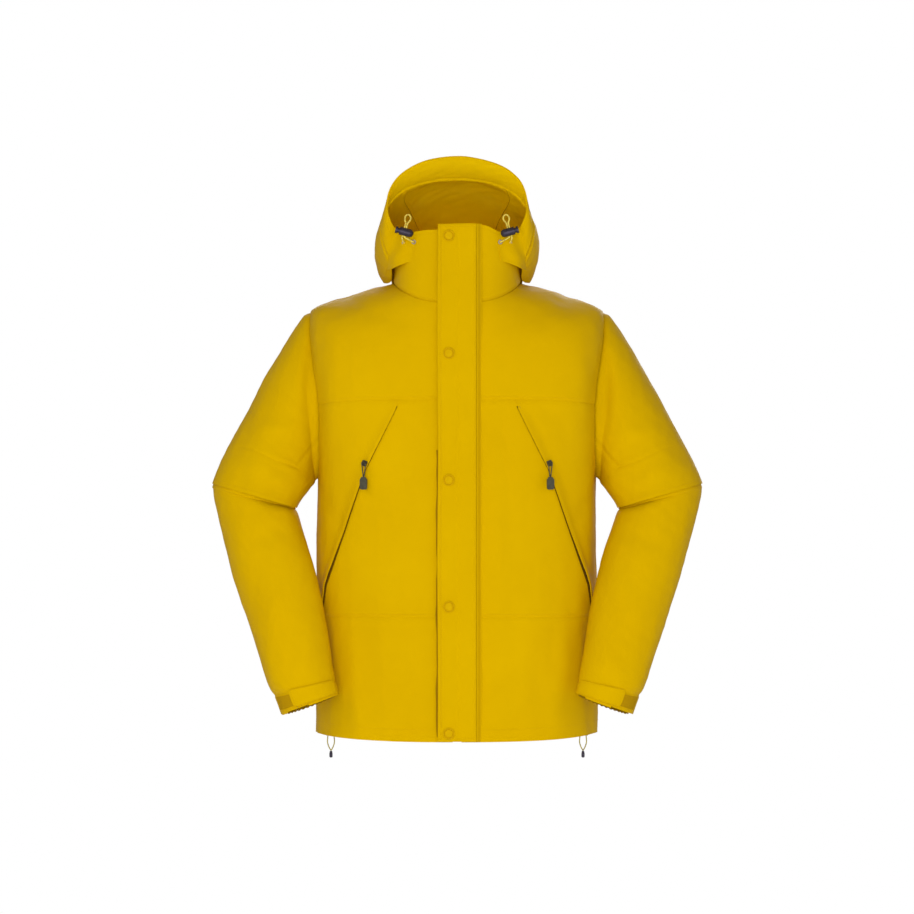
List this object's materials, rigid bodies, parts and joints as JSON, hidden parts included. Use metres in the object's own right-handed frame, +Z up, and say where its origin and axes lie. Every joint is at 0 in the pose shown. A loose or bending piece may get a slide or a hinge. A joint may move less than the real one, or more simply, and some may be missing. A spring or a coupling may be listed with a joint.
{
  "type": "ski jacket",
  "caption": "Hooded shell ski jacket in its worn shape, with a snapped storm flap over the main zip, angled pocket zips, drawcords and cuff adjuster tabs.",
  "frame": {"origin": "underside of the hanger loop's crown, inside the back of the neck, where a hook carries the jacket", "axes": "+Z up, -Y out of the jacket's front, +X towards the wearer's left"},
  "size_m": [0.778, 0.2829, 0.9616],
  "materials": {
    "shell": "matte woven shell cloth, mustard yellow",
    "lining": "matte lining cloth, darker yellow",
    "cord": "matte round braid, pale yellow",
    "webbing": "matte narrow webbing, yellow",
    "zip": "moulded zip chain, satin brown",
    "plastic": "moulded, satin, near black",
    "pull": "moulded rubber-like grip, dark grey",
    "snap": "enamelled cap, satin yellow",
    "metal": "satin"
  },
  "bodies": {
    "jacket": {"front_yoke_right": "shell", "front_yoke_left": "shell", "front_panel_right": "shell", "front_panel_left": "shell", "side_panel_right": "shell", "side_panel_left": "shell", "front_hem_right": "shell", "front_hem_left": "shell", "back_yoke": "shell", "back_panel": "shell", "body_lining": "lining", "pocket_bag_right": "lining", "pocket_bag_left": "lining", "collar_right": "shell", "collar_left": "shell", "collar_lining": "lining", "hanger_loop": "webbing", "zip_tapes": "shell", "zip_chain": "zip", "zip_end_stops": "metal", "flap_seam_strip": "shell", "snap_studs": "metal", "pocket_zip_right": "zip", "pocket_zip_left": "zip", "hood_cord_right": "cord", "hood_cord_left": "cord", "hood_eyelets": "metal", "hem_eyelets": "metal"},
    "hood": {"hood_centre_panel": "shell", "hood_side_right": "shell", "hood_side_left": "shell", "hood_brim": "shell"},
    "storm_flap": {"storm_flap": "shell", "snap_caps": "snap", "snap_sockets": "metal"},
    "main_slider": {"main_slider": "metal"},
    "main_pull": {"main_pull": "pull"},
    "pocket_slider_right": {"pocket_slider_right": "pull"},
    "pocket_pull_right": {"pocket_pull_right": "pull"},
    "cord_lock_right": {"cord_lock_right": "plastic"},
    "cord_lock_button_right": {"cord_lock_button_right": "plastic"},
    "hem_cord_right": {"hem_cord_loop_right": "cord", "hem_cord_end_right": "plastic"},
    "upper_sleeve_right": {"upper_sleeve_right": "shell"},
    "forearm_right": {"forearm_right": "shell", "cuff_band_right": "shell", "cuff_gaiter_right": "lining"},
    "cuff_tab_right": {"cuff_tab_right": "shell"},
    "pocket_slider_left": {"pocket_slider_left": "pull"},
    "pocket_pull_left": {"pocket_pull_left": "pull"},
    "cord_lock_left": {"cord_lock_left": "plastic"},
    "cord_lock_button_left": {"cord_lock_button_left": "plastic"},
    "hem_cord_left": {"hem_cord_loop_left": "cord", "hem_cord_end_left": "plastic"},
    "upper_sleeve_left": {"upper_sleeve_left": "shell"},
    "forearm_left": {"forearm_left": "shell", "cuff_band_left": "shell", "cuff_gaiter_left": "lining"},
    "cuff_tab_left": {"cuff_tab_left": "shell"}
  },
  "joints": [
    {"name": "storm_flap_hinge", "type": "hinge", "parent": "jacket", "child": "storm_flap", "pos_m": [0.032, -0.1845, -0.343], "axis": [0, 0, 1], "range_deg": [0, 150]},
    {"name": "hood_fold", "type": "hinge", "parent": "jacket", "child": "hood", "pos_m": [0, 0.026, 0.008], "axis": [-1, 0, 0], "range_deg": [0, 90]},
    {"name": "main_zip_slide", "type": "slide", "parent": "jacket", "child": "main_slider", "axis": [0, 0, -1], "range_m": [0, 0.755]},
    {"name": "main_pull_swing", "type": "hinge", "parent": "main_slider", "child": "main_pull", "pos_m": [0, -0.1754, 0.037], "axis": [-1, 0, 0], "range_deg": [0, 12]},
    {"name": "pocket_zip_slide_right", "type": "slide", "parent": "jacket", "child": "pocket_slider_right", "axis": [-0.3121, 0.1813, -0.9326], "range_m": [0, 0.16]},
    {"name": "pocket_pull_swing_right", "type": "hinge", "parent": "pocket_slider_right", "child": "pocket_pull_right", "pos_m": [-0.14921, -0.178, -0.30604], "axis": [-0.8271, 0.4311, 0.3606], "range_deg": [0, 95]},
    {"name": "cord_lock_slide_right", "type": "slide", "parent": "jacket", "child": "cord_lock_right", "axis": [0.2588, 0, 0.9659], "range_m": [0, 0.008]},
    {"name": "cord_lock_press_right", "type": "slide", "parent": "cord_lock_right", "child": "cord_lock_button_right", "axis": [0.9659, 0, -0.2588], "range_m": [0, 0.003], "stiffness_N_per_m": 150, "springref_m": -0.001},
    {"name": "hem_cord_swing_right", "type": "hinge", "parent": "jacket", "child": "hem_cord_right", "pos_m": [-0.202, -0.12357, -0.743], "axis": [0.7071, -0.7071, 0], "range_deg": [0, 60]},
    {"name": "shoulder_right", "type": "hinge", "parent": "jacket", "child": "upper_sleeve_right", "pos_m": [-0.235, -0.06, -0.064], "axis": [0, 1, 0], "range_deg": [0, 50]},
    {"name": "elbow_right", "type": "hinge", "parent": "upper_sleeve_right", "child": "forearm_right", "pos_m": [-0.322, -0.148, -0.365], "axis": [-0.9707, 0, 0.2402], "range_deg": [0, 80]},
    {"name": "cuff_tab_peel_right", "type": "hinge", "parent": "forearm_right", "child": "cuff_tab_right", "pos_m": [-0.19584, -0.18762, -0.6633], "axis": [-0.2693, 0.2087, 0.9402], "range_deg": [0, 110]},
    {"name": "pocket_zip_slide_left", "type": "slide", "parent": "jacket", "child": "pocket_slider_left", "axis": [0.3121, 0.1813, -0.9326], "range_m": [0, 0.16]},
    {"name": "pocket_pull_swing_left", "type": "hinge", "parent": "pocket_slider_left", "child": "pocket_pull_left", "pos_m": [0.14921, -0.178, -0.30604], "axis": [-0.8271, -0.4311, -0.3606], "range_deg": [0, 95]},
    {"name": "cord_lock_slide_left", "type": "slide", "parent": "jacket", "child": "cord_lock_left", "axis": [-0.2588, 0, 0.9659], "range_m": [0, 0.008]},
    {"name": "cord_lock_press_left", "type": "slide", "parent": "cord_lock_left", "child": "cord_lock_button_left", "axis": [-0.9659, 0, -0.2588], "range_m": [0, 0.003], "stiffness_N_per_m": 150, "springref_m": -0.001},
    {"name": "hem_cord_swing_left", "type": "hinge", "parent": "jacket", "child": "hem_cord_left", "pos_m": [0.202, -0.12357, -0.743], "axis": [0.7071, 0.7071, 0], "range_deg": [0, 60]},
    {"name": "shoulder_left", "type": "hinge", "parent": "jacket", "child": "upper_sleeve_left", "pos_m": [0.235, -0.06, -0.064], "axis": [0, -1, 0], "range_deg": [0, 50]},
    {"name": "elbow_left", "type": "hinge", "parent": "upper_sleeve_left", "child": "forearm_left", "pos_m": [0.322, -0.148, -0.365], "axis": [-0.9707, 0, -0.2402], "range_deg": [0, 80]},
    {"name": "cuff_tab_peel_left", "type": "hinge", "parent": "forearm_left", "child": "cuff_tab_left", "pos_m": [0.19584, -0.18762, -0.6633], "axis": [-0.2693, -0.2087, -0.9402], "range_deg": [0, 110]}
  ]
}
